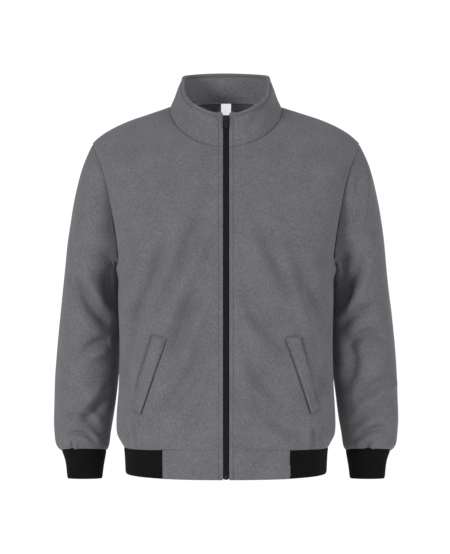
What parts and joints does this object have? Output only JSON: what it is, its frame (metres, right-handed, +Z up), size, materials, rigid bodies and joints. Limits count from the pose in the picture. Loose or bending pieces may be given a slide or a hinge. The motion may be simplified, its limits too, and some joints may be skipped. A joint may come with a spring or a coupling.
{
  "type": "zip jacket",
  "caption": "Hip-length fleece jacket with a full front zip, stand collar, slanted welt pockets and black rib cuffs and hem, filled out as worn; it warms the upper body",
  "frame": {"origin": "the middle of the neck opening, level with the neck ends of the shoulder seams, where the wearer's neck and shoulders hold the jacket", "axes": "+Z up, -Y the front with the zip, +X the wearer's left"},
  "size_m": [0.655, 0.2656, 0.7715],
  "materials": {
    "fleece": "brushed fleece",
    "rib": "rib knit",
    "zip_tape": "woven tape",
    "zip_coil": "satin",
    "zip_slider": "satin",
    "label": "satin weave"
  },
  "bodies": {
    "jacket": {"front_left": "fleece", "front_right": "fleece", "back": "fleece", "sleeve_left": "fleece", "sleeve_right": "fleece", "collar": "fleece", "collar_facing": "fleece", "hem_front_left": "fleece", "hem_front_right": "fleece", "pocket_welt_left": "fleece", "pocket_welt_right": "fleece", "hem_rib": "rib", "cuff_left": "rib", "cuff_right": "rib", "zip_tape_left": "zip_tape", "zip_tape_right": "zip_tape", "zip_chain": "zip_coil", "zip_box": "zip_coil", "zip_slider": "zip_slider", "neck_label": "label"},
    "zip_pull": {"zip_pull": "zip_slider"}
  },
  "joints": [
    {"name": "pull_tab_hinge", "type": "hinge", "parent": "jacket", "child": "zip_pull", "pos_m": [0, -0.08825, -0.03206], "axis": [-1, 0, 0], "range_deg": [0, 165]}
  ]
}
